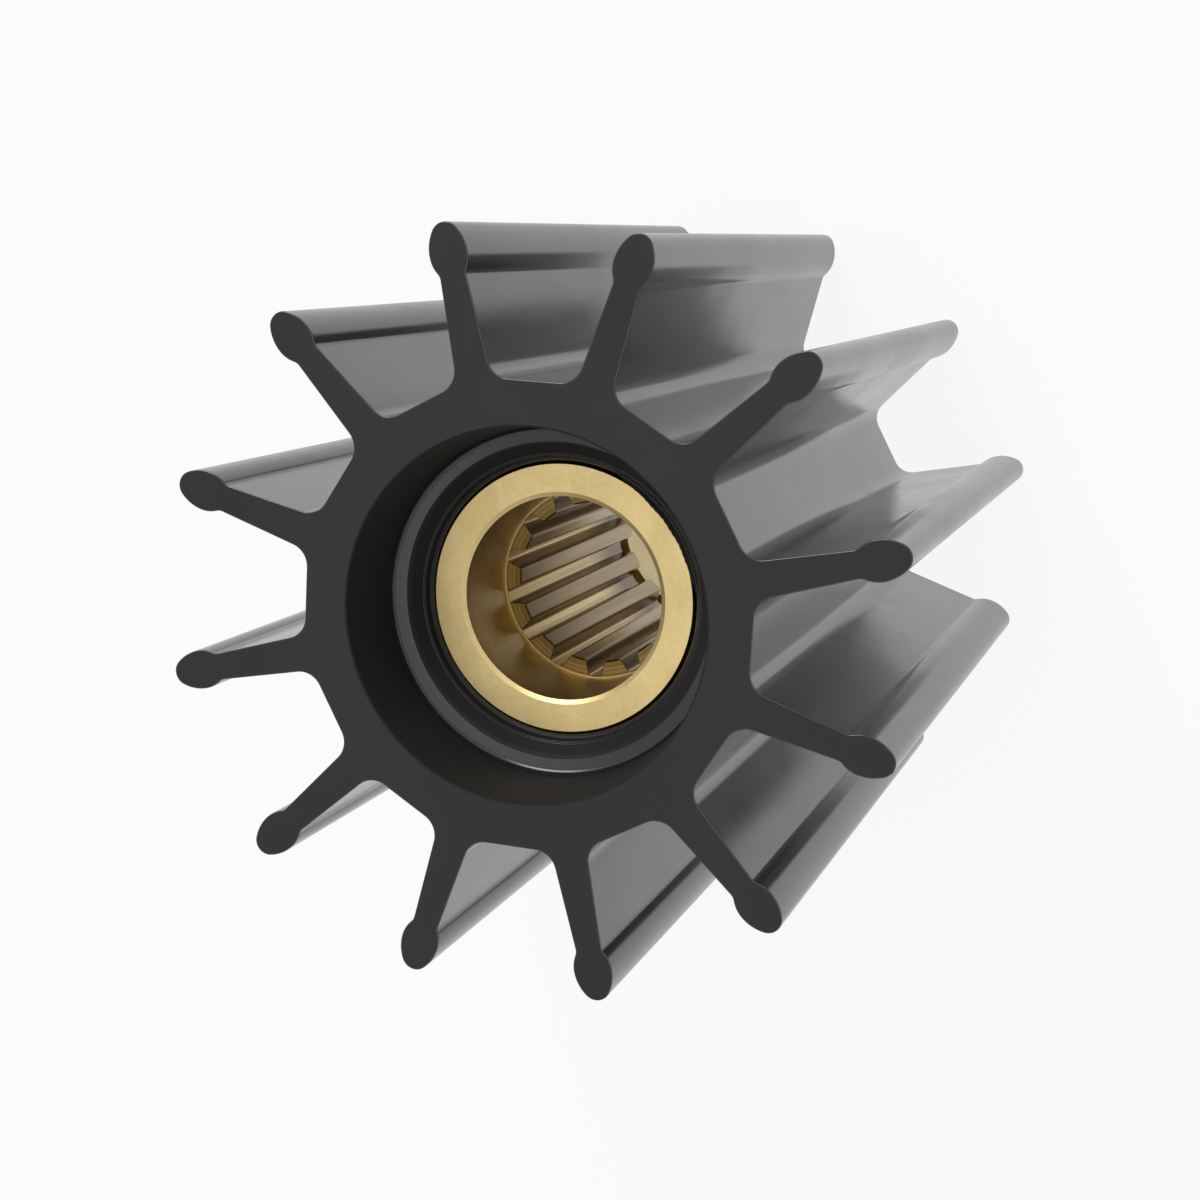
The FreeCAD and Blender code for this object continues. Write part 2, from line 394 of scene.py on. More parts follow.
class EffectKit:
    """The surface effects that several finishes share, each a node group built once."""

    def __init__(self) -> None:
        """Builds the groups."""
        self.grain = self.build_grain()
        self.mottle = self.build_mottle()
        self.radius = self.build_radius()
        self.rings = self.build_rings()
        self.streaks = self.build_streaks()

    @staticmethod
    def new_group(name: str, inputs: dict[str, float], output: str) -> tuple[Tree, Sheet, Sockets]:
        """Starts a group that takes a place on the surface and some numbers.

        Args:
            name: Name of the group.
            inputs: Default of each number that it takes.
            output: Name of the value that it puts out.

        Returns:
            The group, a sheet to place its nodes on, and the sockets of what it takes.
        """
        tree = bpy.data.node_groups.new(name, "ShaderNodeTree")
        tree.interface.new_socket("Place", in_out="INPUT", socket_type="NodeSocketVector")
        for label, value in inputs.items():
            socket = tree.interface.new_socket(label, in_out="INPUT", socket_type="NodeSocketFloat")
            socket.default_value = value
        tree.interface.new_socket(output, in_out="OUTPUT", socket_type="NodeSocketFloat")
        sheet = Sheet(tree)
        return tree, sheet, sheet.add("NodeGroupInput").outputs

    def build_grain(self) -> Tree:
        """The fine unevenness of a surface, around 0.5: a fine noise and one four times as broad."""
        tree, sheet, given = self.new_group("fine_grain", {"Scale": 1500.0, "Share": 0.5}, "Height")
        fine = sheet.noise(given["Place"], given["Scale"], 3.0)
        broad = sheet.noise(given["Place"], sheet.math("MULTIPLY", given["Scale"], 0.25), 2.0)
        mixed = sheet.add("ShaderNodeMix", {0: given["Share"], 2: fine, 3: broad})
        sheet.add("NodeGroupOutput", {"Height": mixed.outputs[0]})
        return tree

    def build_mottle(self) -> Tree:
        """Soft cloudy patches, from 0 to 1, such as handling marks and stains leave."""
        tree, sheet, given = self.new_group("soft_mottle", {"Scale": 60.0, "Spread": 0.15}, "Mask")
        noise = sheet.noise(given["Place"], given["Scale"], 4.0, distortion=0.6)
        low = sheet.math("SUBTRACT", 0.5, given["Spread"])
        high = sheet.math("ADD", 0.5, given["Spread"])
        sheet.add("NodeGroupOutput", {"Mask": sheet.ranged(noise, low, high, 0.0, 1.0)})
        return tree

    def build_radius(self) -> Tree:
        """The distance from the part's axis, in metres."""
        tree, sheet, given = self.new_group("from_axis", {}, "Radius")
        level = sheet.vector("MULTIPLY", given["Place"], (1.0, 1.0, 0.0))[0]
        sheet.add("NodeGroupOutput", {"Radius": sheet.vector("LENGTH", level)["Value"]})
        return tree

    def build_streaks(self) -> Tree:
        """Unevenness drawn out along the axis, around 0.5, as a long mould and a broach leave."""
        tree, sheet, given = self.new_group("long_streaks", {"Scale": 600.0, "Squeeze": 0.1}, "Height")
        squeeze = sheet.add("ShaderNodeCombineXYZ", {"X": 1.0, "Y": 1.0, "Z": given["Squeeze"]})
        place = sheet.vector("MULTIPLY", given["Place"], squeeze.outputs[0])[0]
        sheet.add("NodeGroupOutput", {"Height": sheet.noise(place, given["Scale"], 2.0)})
        return tree

    def build_rings(self) -> Tree:
        """The rings that a turning tool leaves, around 0.5, over radius and height."""
        tree, sheet, given = self.new_group("tool_rings", {"Scale": 4000.0}, "Height")
        height = sheet.add("ShaderNodeSeparateXYZ", {0: given["Place"]}).outputs[2]
        radius = self.place(sheet, self.radius, given["Place"])
        place = sheet.add("ShaderNodeCombineXYZ", {"X": radius, "Y": height})
        sheet.add("NodeGroupOutput", {"Height": sheet.noise(place.outputs[0], given["Scale"], 2.0)})
        return tree

    @staticmethod
    def place(sheet: Sheet, group: Tree, place: Socket, **values: float) -> Socket:
        """Places a group in a material.

        Args:
            sheet: The material's sheet.
            group: The effect.
            place: Where on the surface it is read.
            values: Its numbers.

        Returns:
            The group's first output.
        """
        node = sheet.add("ShaderNodeGroup", node_tree=group)
        sheet.tree.links.new(place, node.inputs["Place"])
        for name, value in values.items():
            node.inputs[name.title()].default_value = value
        return node.outputs[0]


def emptied(block: bpy.types.ID) -> Sheet:
    """Turns on the nodes of a material or world, clears them, and gives a sheet to place new ones."""
    block.use_nodes = True
    block.node_tree.nodes.clear()
    return Sheet(block.node_tree)


def linked(name: str, data: bpy.types.ID) -> Piece:
    """Makes an object of a mesh, lamp or camera, and links it to the scene."""
    piece = bpy.data.objects.new(name, data)
    bpy.context.scene.collection.objects.link(piece)
    return piece


def new_material(name: str) -> tuple[Material, Sheet, bpy.types.Node, Socket]:
    """Starts a material with a Principled shader.

    Args:
        name: Name of the material.

    Returns:
        The material, its sheet, its shader, and the socket with the place in the row's frame.
    """
    material = bpy.data.materials.new(name)
    sheet = emptied(material)
    shader = sheet.add("ShaderNodeBsdfPrincipled")
    sheet.add("ShaderNodeOutputMaterial", {"Surface": shader.outputs[0]})
    place = sheet.add("ShaderNodeTexCoord").outputs["Object"]
    return material, sheet, shader, place


@dataclass(frozen=True)
class RubberFinish:
    """Dark moulded rubber with a satin skin."""

    name: str
    dark: Colour = (0.0115, 0.0115, 0.0125, 1.0)
    pale: Colour = (0.0155, 0.0155, 0.0167, 1.0)
    roughness: float = 0.5
    specular: float = 0.42
    grain_scale: float = 1800.0
    grain_depth: float = 0.00001
    wave_depth: float = 0.0
    bloom: float = 0.0
    bloom_tone: Colour = (0.05, 0.05, 0.053, 1.0)

    def colour(self, sheet: Sheet, patches: Socket) -> Socket:
        """Mixes the two tones in patches, under a faint pale bloom."""
        bloomed = sheet.ranged(patches, 0.0, 1.0, 0.25 * self.bloom, 0.75 * self.bloom)
        return sheet.blended(bloomed, sheet.blended(patches, self.dark, self.pale), self.bloom_tone)

    def material(self, effects: EffectKit) -> Material:
        """Builds the material.

        Args:
            effects: The shared effects.

        Returns:
            The material.
        """
        material, sheet, shader, place = new_material(self.name)
        patches = effects.place(sheet, effects.mottle, place, scale=55.0, spread=0.2)
        grain = effects.place(sheet, effects.grain, place, scale=self.grain_scale, share=0.4)
        link = sheet.tree.links.new
        link(self.colour(sheet, patches), shader.inputs["Base Color"])
        uneven = sheet.math("ADD", sheet.math("MULTIPLY", patches, 0.05), self.roughness - 0.06)
        link(sheet.math("ADD", uneven, sheet.math("MULTIPLY", grain, 0.08)), shader.inputs["Roughness"])
        waves = effects.place(sheet, effects.streaks, place, scale=60.0, squeeze=0.35)
        broad = sheet.bump(1.0, self.wave_depth, waves)
        link(sheet.bump(0.5, self.grain_depth, grain, broad), shader.inputs["Normal"])
        shader.inputs["Specular IOR Level"].default_value = self.specular
        return material


@dataclass(frozen=True)
class BrassFinish:
    """Brass as a tool left it: turned, bored or broached."""

    name: str
    bright: Colour = (0.59, 0.465, 0.222, 1.0)
    dull: Colour = (0.485, 0.37, 0.168, 1.0)
    roughness: float = 0.38
    ring_scale: float = 5000.0
    ring_depth: float = 0.000004
    grain_depth: float = 0.000009
    patch_scale: float = 180.0
    patch_spread: float = 0.2
    unevenness: float = 0.16

    def colour(self, sheet: Sheet, effects: EffectKit, place: Socket) -> Socket:
        """Mixes the bright and the dull tone in soft patches with a fine speckle."""
        sizes = {"scale": self.patch_scale, "spread": self.patch_spread}
        patches = sheet.math("MULTIPLY", effects.place(sheet, effects.mottle, place, **sizes), 0.7)
        speckle = effects.place(sheet, effects.mottle, place, scale=1400.0, spread=0.12)
        share = sheet.math("ADD", patches, sheet.math("MULTIPLY", speckle, 0.3))
        return sheet.blended(share, self.bright, self.dull)

    def material(self, effects: EffectKit) -> Material:
        """Builds the material.

        Args:
            effects: The shared effects.

        Returns:
            The material.
        """
        material, sheet, shader, place = new_material(self.name)
        grain = effects.place(sheet, effects.grain, place, scale=4000.0, share=0.5)
        rings = effects.place(sheet, effects.rings, place, scale=self.ring_scale)
        link = sheet.tree.links.new
        link(self.colour(sheet, effects, place), shader.inputs["Base Color"])
        uneven = sheet.math("MULTIPLY_ADD", grain, self.unevenness, self.roughness - self.unevenness / 2)
        link(uneven, shader.inputs["Roughness"])
        first = sheet.bump(0.6, self.ring_depth, rings)
        link(sheet.bump(0.6, self.grain_depth, grain, first), shader.inputs["Normal"])
        shader.inputs["Metallic"].default_value = 1.0
        return material


@dataclass(frozen=True)
class BroachedBrass(BrassFinish):
    """The spline's brass: plain on the gullets' floors, with painted shade on flanks and tops."""

    floor: Colour = (0.60, 0.46, 0.225, 1.0)
    # The darker top and flank tones are painted shade on the teeth.
    top: Colour = (0.30, 0.22, 0.105, 1.0)
    shaded_flank: Colour = (0.29, 0.22, 0.115, 1.0)
    tarnish_marks_and_shade: Colour = (0.14, 0.095, 0.04, 1.0)
    tip_radius: float = 0.01055
    root_radius: float = 0.01265
    floor_fade: tuple[float, float] = (0.6 * MM, 0.1 * MM)
    top_fade: tuple[float, float] = (0.1 * MM, 0.5 * MM)
    # Both ends of the spline darken towards the brown tone: painted shade with some tarnish.
    far_end: tuple[float, float] = (0.026, 0.036)
    near_end: tuple[float, float] = (0.048, 0.071)

    def colour(self, sheet: Sheet, effects: EffectKit, place: Socket) -> Socket:
        """Tells floors, flanks and tops apart by the distance from the axis, paints shade on flanks and
        tops, and darkens both ends: painted shade with some tarnish.
        """
        radius = effects.place(sheet, effects.radius, place)
        height = sheet.add("ShaderNodeSeparateXYZ", {0: place}).outputs[2]
        # far darkens the deep floors and near the tops by the mouth: painted shade with some tarnish.
        far = sheet.ranged(height, *self.far_end, 1.0, 0.0)
        near = sheet.ranged(height, *self.near_end, 0.0, 0.8)
        floor_edges = [self.root_radius - reach for reach in self.floor_fade]
        top_edges = [self.tip_radius + reach for reach in self.top_fade]
        on_floor = sheet.ranged(radius, *floor_edges, 0.0, 1.0)
        on_top = sheet.ranged(radius, *top_edges, 1.0, 0.0)
        shaded_tops = sheet.blended(near, self.top, self.tarnish_marks_and_shade)
        walls = sheet.blended(on_top, self.shaded_flank, shaded_tops)
        whole = sheet.blended(on_floor, walls, sheet.blended(far, self.floor, self.tarnish_marks_and_shade))
        streaks = effects.place(sheet, effects.streaks, place, scale=900.0, squeeze=0.02)
        return sheet.blended(sheet.ranged(streaks, 0.45, 0.7, 0.0, 0.45), whole, self.tarnish_marks_and_shade)


@dataclass(frozen=True)
class FacedBrass(BrassFinish):
    """The teeth's fronts: dark brass with the facing tool's rings and a lighter outer edge."""

    edge: Colour = (0.5, 0.4, 0.2, 1.0)
    edge_radius: float = 0.0127
    edge_fade: float = 0.08 * MM

    def colour(self, sheet: Sheet, effects: EffectKit, place: Socket) -> Socket:
        """Draws the rings, and lightens the edge."""
        rings = effects.place(sheet, effects.rings, place, scale=self.ring_scale)
        radius = effects.place(sheet, effects.radius, place)
        marked = sheet.blended(sheet.ranged(rings, 0.42, 0.58, 0.0, 1.0), self.bright, self.dull)
        pale_rim = sheet.ranged(radius, self.edge_radius - self.edge_fade, self.edge_radius, 0.0, 1.0)
        return sheet.blended(pale_rim, marked, self.edge)


@dataclass(frozen=True)
class BevelBrass(BrassFinish):
    """The bevel beside the rubber: darkened by painted shade in the crevice, with a painted highlight along
    its rim.
    """

    # The pale rim colour is a painted highlight, brighter than the brass itself.
    pale_rim: Colour = (0.85, 0.70, 0.40, 1.0)
    rim_radius: float = 0.01742
    rim_fade: float = 0.03 * MM

    def colour(self, sheet: Sheet, effects: EffectKit, place: Socket) -> Socket:
        """Lays the painted shade, and paints the highlight along the rim."""
        radius = effects.place(sheet, effects.radius, place)
        rim = sheet.ranged(radius, self.rim_radius, self.rim_radius + self.rim_fade, 0.0, 1.0)
        return sheet.blended(rim, super().colour(sheet, effects, place), self.pale_rim)


@dataclass(frozen=True)
class VaneSection:
    """The cross-section of the hub with its straight, bulb-tipped vanes."""

    count: int = 12
    tip_radius: float = 47.5 * MM
    head_width: float = 4.9 * MM
    head_setback: float = 3.8 * MM
    nose_radius: float = 1.8 * MM
    shoulder_radius: float = 3.9 * MM
    hollow_radius: float = 1.4 * MM
    neck_thickness: float = 3.4 * MM
    neck_setback: float = 7.1 * MM
    root_thickness: float = 4.6 * MM
    hub_flat_radius: float = 28.25 * MM
    root_radius: float = 2.8 * MM
    chords: int = 12

    def half_vane(self) -> Trace:
        """One side of the vane on +Y, at positive X, from the middle of its nose to the hub's flat."""
        half_head = self.head_width / 2
        head_centre = self.tip_radius - self.head_setback
        nose_height = self.head_setback - self.nose_radius
        over = half_head**2 + nose_height**2 - self.nose_radius**2
        flank_radius = over / (2 * (half_head - self.nose_radius))
        nose_centre = np.array([0.0, self.tip_radius - self.nose_radius])
        flank_centre = np.array([half_head - flank_radius, head_centre])
        nose_end = flank_centre + unit(nose_centre - flank_centre) * flank_radius
        widest = np.array([half_head, head_centre])
        shoulder_centre = np.array([half_head - self.shoulder_radius, head_centre])

        neck = np.array([self.neck_thickness / 2, self.tip_radius - self.neck_setback])
        root = np.array([self.root_thickness / 2, self.hub_flat_radius])
        down = unit(root - neck)
        out = turned(down, math.pi / 2)
        hollow_centre = self.hollow_centre(neck + out * self.hollow_radius, down, shoulder_centre)
        shoulder_end = shoulder_centre + unit(hollow_centre - shoulder_centre) * self.shoulder_radius
        web_top = hollow_centre - out * self.hollow_radius

        flat_out = turned(np.array([0.0, 1.0]), -math.pi / self.count)
        beside = neck + out * self.root_radius
        along = (self.hub_flat_radius + self.root_radius - beside @ flat_out) / (down @ flat_out)
        root_centre = beside + down * along
        web_bottom = root_centre - out * self.root_radius
        flat_end = root_centre - flat_out * self.root_radius
        return arc(nose_centre, np.array([0.0, self.tip_radius]), nose_end, self.chords).joined(
            arc(flank_centre, nose_end, widest, self.chords),
            arc(shoulder_centre, widest, shoulder_end, self.chords),
            arc(hollow_centre, shoulder_end, web_top, self.chords),
            straight(web_top, web_bottom, 6),
            arc(root_centre, web_bottom, flat_end, self.chords),
            straight(flat_end, flat_out * self.hub_flat_radius, 3),
        )

    def hollow_centre(self, start: np.ndarray, direction: np.ndarray, shoulder: np.ndarray) -> np.ndarray:
        """Finds the centre of the hollow under the bulb.

        Args:
            start: A point of the line beside the web that the centre lies on.
            direction: That line's direction.
            shoulder: Centre of the bulb's shoulder, which the arc touches.

        Returns:
            The centre.
        """
        reach = self.shoulder_radius + self.hollow_radius
        offset = start - shoulder
        along = float(offset @ direction)
        return start + direction * (math.sqrt(reach**2 - float(offset @ offset) + along**2) - along)

    def outline(self) -> Trace:
        """The closed outline of the hub with all its vanes, clockwise."""
        half = self.half_vane()
        vane = half.mirrored().joined(half)
        vane = Trace(vane.points[:-1], vane.normals[:-1])
        vanes = [vane.turned(-index * 2 * math.pi / self.count) for index in range(self.count)]
        points = np.concatenate([vane.points for vane in vanes])
        return Trace(points, np.concatenate([vane.normals for vane in vanes]))


@dataclass
class RubberBody:
    """The rubber moulding: hub and vanes in one piece, with the bush's seat and the front recess."""

    section: VaneSection = field(default_factory=VaneSection)
    length: float = 99.0 * MM
    rim_radius: float = 0.12 * MM
    seat_radius: float = 17.6 * MM
    seat_top: float = 83.7 * MM
    groove: tuple[float, float] = (17.95 * MM, 84.0 * MM)
    lip: tuple[float, float] = (18.15 * MM, 85.25 * MM)
    lip_foot: tuple[float, float] = (18.4 * MM, 85.15 * MM)
    shelf_inner: float = 19.7 * MM
    shelf_outer: float = 21.9 * MM
    shelf_height: float = 87.1 * MM
    shelf_rise: float = 0.4 * MM
    mouth_radius: float = 22.8 * MM
    segments: int = 288

    def recess(self) -> Trace:
        """The profile of the space inside the rubber, from the rear face to the front face."""
        return rounded(
            [
                (self.seat_radius + 0.3 * MM, 0.0, 0.0),
                (self.seat_radius, 0.0, 0.15 * MM),
                (self.seat_radius, self.seat_top, 0.1 * MM),
                (*self.groove, 0.1 * MM),
                (*self.lip, 0.07 * MM),
                (*self.lip_foot, 0.08 * MM),
                (self.shelf_inner, self.shelf_height - self.shelf_rise, 1.2 * MM),
                (self.shelf_outer, self.shelf_height, 1.0 * MM),
                (self.mouth_radius, self.length, 0.3 * MM),
                (self.mouth_radius + 0.5 * MM, self.length, 0.0),
            ]
        )

    def finish_at(self, radius: float, height: float) -> int:
        """Picks the finish of a place of the recess: face, wall, smooth shelf and lip, or groove."""
        if not 0.0 < height < self.length:
            return RubberPart.FACE
        if self.seat_top < height < self.shelf_height + 1.0 * MM and radius > self.shelf_inner + 0.3 * MM:
            return RubberPart.SHELF
        if self.seat_top < height < self.lip_foot[1] + 0.12 * MM:
            return RubberPart.SHELF if height > self.lip_foot[1] - 0.05 * MM else RubberPart.GROOVE
        return RubberPart.RECESS

    def build(self, finishes: Sequence[Material]) -> Piece:
        """Makes the moulding.

        Args:
            finishes: Those of the end faces, the sides, the recess, its smooth shelf with the lip,
                and the groove beside the bush.

        Returns:
            The piece.
        """
        shell = Shell()
        profile = self.recess()
        bands = [self.finish_at(*middle) for middle in (profile.points[1:] + profile.points[:-1]) / 2]
        rows = rim_rows(0.0, self.length, self.rim_radius)
        walls = shell.prism(self.section.outline(), rows, RubberPart.SIDE)
        rings = shell.lathe(profile, self.segments, bands)
        shell.cap(walls[-1], rings[-1])
        shell.cap(walls[0], rings[0])
        return shell.built("impeller_rubber", finishes)


@dataclass
class SplinedBush:
    """The brass bush: turned ends, a plain bore at each end and the broached spline between."""

    outside_radius: float = 17.6 * MM
    edge_chamfer: float = 0.6 * MM
    bottom: float = 1.0 * MM
    top: float = 84.3 * MM
    bore_radius: float = 12.9 * MM
    mouth_flare: float = 0.6 * MM
    mouth_bevel: float = 0.3 * MM
    mouth_depth: float = 1.6 * MM
    spline_top: float = 70.2 * MM
    spline_bottom: float = 20.2 * MM
    groove_radius: float = 13.9 * MM
    groove_bottom: float = 15.5 * MM
    teeth: int = 14
    tip_radius: float = 10.55 * MM
    root_radius: float = 12.65 * MM
    tip_width: float = 2.2 * MM
    root_width: float = 3.9 * MM
    edge_radius: float = 0.28 * MM
    lead: float = 0.2 * MM
    rim: float = 0.06 * MM
    segments: int = 288

    def body_profile(self) -> Trace:
        """The profile from the front bore's foot round the outside to the rear bore's foot."""
        mouth = self.bore_radius + self.mouth_flare
        throat = self.bore_radius + 0.02 * MM
        face = self.outside_radius - self.edge_chamfer
        foot = self.bore_radius - 0.1 * MM
        small, fine = 0.08 * MM, 0.05 * MM
        return rounded(
            [
                (foot, self.spline_top, 0.0),
                (self.bore_radius, self.spline_top, small),
                (self.bore_radius, self.top - self.mouth_depth, small),
                (throat, self.top - self.mouth_bevel, small),
                (mouth, self.top, small),
                (face, self.top, fine),
                (self.outside_radius, self.top - self.edge_chamfer, fine),
                (self.outside_radius, self.bottom + self.edge_chamfer, fine),
                (face, self.bottom, fine),
                (mouth, self.bottom, small),
                (throat, self.bottom + self.mouth_bevel, small),
                (self.bore_radius, self.bottom + self.mouth_depth, small),
                (self.bore_radius, self.groove_bottom, small),
                (self.groove_radius, self.groove_bottom, small),
                (self.groove_radius, self.spline_bottom, small),
                (foot, self.spline_bottom, 0.0),
            ],
            pieces=3,
        )

    def spline(self) -> Trace:
        """The closed outline of the spline's space, whose corners are broken by a small radius.

        Returns:
            The trace. The brass lies outside it, so it runs anticlockwise.
        """
        pitch = 2 * math.pi / self.teeth
        tip_angle = math.asin(self.tip_width / 2 / self.tip_radius)
        root_angle = math.asin(self.root_width / 2 / self.root_radius)
        places = []
        for index in range(self.teeth):
            middle = index * pitch
            for angle in np.linspace(-tip_angle, tip_angle, 24):
                places.append((self.tip_radius, middle + angle))
            for angle in np.linspace(root_angle, pitch - root_angle, 20):
                places.append((self.root_radius, middle + angle))
        radii, angles = np.array(places).T
        return self.softened(np.column_stack([radii * np.cos(angles), radii * np.sin(angles)]))

    def softened(self, corners: np.ndarray, step: float = 0.08 * MM) -> Trace:
        """Divides a closed outline evenly and smooths its corners.

        Args:
            corners: The outline's points, anticlockwise.
            step: Length of the new parts.

        Returns:
            The trace, with normals towards its inside.
        """
        loop = np.vstack([corners, corners[:1]])
        lengths = np.concatenate([[0.0], np.cumsum(np.linalg.norm(np.diff(loop, axis=0), axis=1))])
        per_tooth = round(lengths[-1] / self.teeth / step)
        places = np.arange(per_tooth * self.teeth) * lengths[-1] / (per_tooth * self.teeth)
        even = np.column_stack([np.interp(places, lengths, loop[:, axis]) for axis in (0, 1)])
        reach = int(3 * self.edge_radius / step)
        weights = np.exp(-0.5 * (np.arange(-reach, reach + 1) * step / self.edge_radius) ** 2)
        shifted = [np.roll(even, shift, axis=0) for shift in range(-reach, reach + 1)]
        smooth = sum(weight * loop for weight, loop in zip(weights, shifted)) / weights.sum()
        along = np.roll(smooth, -1, axis=0) - np.roll(smooth, 1, axis=0)
        along /= np.linalg.norm(along, axis=1)[:, None]
        return Trace(smooth, turned(along, math.pi / 2))

    def is_bevel(self, radius: float, height: float) -> bool:
        """Tells whether a place of the profile lies on the bevel round the outside of an end face."""
        low, high = self.bottom + self.edge_chamfer, self.top - self.edge_chamfer
        return radius > self.outside_radius - self.edge_chamfer + 0.02 * MM and not low < height < high

    def is_groove(self, radius: float, height: float) -> bool:
        """Tells whether a place of the profile lies in the groove behind the spline."""
        level = self.groove_bottom - 0.01 * MM < height < self.spline_bottom
        return level and radius < self.groove_radius + 0.01 * MM

    def is_bored(self, radius: float, height: float) -> bool:
        """Tells whether a place of the profile lies in the front bore, below its mouth."""
        level = self.spline_bottom < height < self.top - self.mouth_bevel
        return level and radius < self.bore_radius + 0.03 * MM

    def finish_at(self, radius: float, height: float) -> int:
        """Picks the finish of a place of the profile: turned, bored or bevel."""
        if self.is_bevel(radius, height):
            return BrassPart.BEVEL
        bored = self.is_bored(radius, height) or self.is_groove(radius, height)
        return BrassPart.BORED if bored else BrassPart.TURNED

    def spline_end(self, shell: Shell, section: Trace, end: float, inward: float) -> list[np.ndarray]:
        """Lays one end of the spline: a lead-in bevel on each tooth, with a fine rim between them.

        Args:
            shell: The bush in the making.
            section: The spline's outline.
            end: Height of this end.
            inward: 1 where the spline lies above this end, and -1 where it lies below.

        Returns:
            The numbers of the ring where the straight walls start, and of the ring round the end face.
        """
        radii = np.linalg.norm(section.points, axis=1)
        spokes = section.points / radii[:, None]
        foot = self.tip_radius + self.lead
        on_tooth = (radii < foot)[:, None]
        depth = np.maximum(foot - radii, self.rim)
        low = np.column_stack([section.points, end + inward * depth])
        rim = np.where(on_tooth, spokes * foot, section.points - section.normals * self.rim)
        high = np.column_stack([rim, np.full(len(rim), end)])
        level = np.zeros((len(rim), 1))
        slope = math.sqrt(0.5)
        out = np.where(on_tooth, -spokes, section.normals)
        bevel = np.hstack([out * slope, level - inward * slope])
        walls = shell.ring(low, np.hstack([section.normals, level]))
        shell.band(shell.ring(low, bevel), shell.ring(high, bevel), BrassPart.SPLINE)
        return [walls, shell.ring(high, np.hstack([level, level, level - inward]))]

    def build(self, finishes: Sequence[Material]) -> Piece:
        """Makes the bush.

        Args:
            finishes: Those of the turned outside, the bores, the spline, the teeth's fronts and the
                bevel round the outside.

        Returns:
            The piece.
        """
        shell = Shell()
        profile = self.body_profile()
        middles = (profile.points[1:] + profile.points[:-1]) / 2
        bands = [self.finish_at(radius, height) for radius, height in middles]
        rings = shell.lathe(profile, self.segments, bands)
        section = self.spline()
        low_wall, low_rim = self.spline_end(shell, section, self.spline_bottom, 1.0)
        high_wall, high_rim = self.spline_end(shell, section, self.spline_top, -1.0)
        shell.band(low_wall, high_wall, BrassPart.SPLINE)
        shell.cap(rings[0], high_rim, BrassPart.FRONT)
        shell.cap(rings[-1], low_rim, BrassPart.FRONT)
        return shell.built("impeller_bush", finishes)


@dataclass
class LipFlash:
    """The film of rubber that the mould left over one stretch of the bush's rim."""

    height: float = 84.3 * MM
    outer_radius: float = 17.75 * MM
    reach: float = 1.15 * MM
    thickness: float = 0.07 * MM
    start: float = math.radians(-98)
    end: float = math.radians(-34)
    pieces: int = 160
    ripples: tuple[Triple, ...] = ((0.05, 9.0, 1.0), (0.03, 31.0, 0.0), (0.025, 131.0, 2.0))

    def build(self, material: Material) -> Piece:
        """Makes the film.

        Args:
            material: Its rubber.

        Returns:
            The piece.
        """
        shell = Shell()
        angles = np.linspace(self.start, self.end, self.pieces)
        share = np.linspace(0.0, 1.0, self.pieces)
        swell = np.clip(np.sin(math.pi * share), 0.0, 1.0) ** 0.5
        ragged = sum(height * np.sin(rate * share + shift) for height, rate, shift in self.ripples)
        inner = self.outer_radius - self.reach * swell * (0.85 + ragged)
        around = np.column_stack([np.cos(angles), np.sin(angles)])
        low, high = self.height + 0.01 * MM, self.height + 0.01 * MM + self.thickness
        rows = []
        levels = [
            (0.0, low, -0.3),
            (0.0, low + 0.5 * self.thickness, 0.0),
            (0.12, high, 0.8),
            (1.0, high + 0.35 * MM, 0.9),
        ]
        for back, height, up in levels:
            radius = inner + (self.outer_radius - inner) * back
            points = np.column_stack([around * radius[:, None], np.full(self.pieces, height)])
            normals = np.column_stack([-around * math.sqrt(1 - up * up), np.full(self.pieces, up)])
            rows.append(shell.ring(points, normals))
        for first, second in zip(rows, rows[1:]):
            quads = zip(first, first[1:], second[1:], second)
            shell.faces.extend(tuple(int(corner) for corner in quad) for quad in quads)
            shell.finishes.extend([0] * (self.pieces - 1))
        return shell.built("lip_flash", [material])


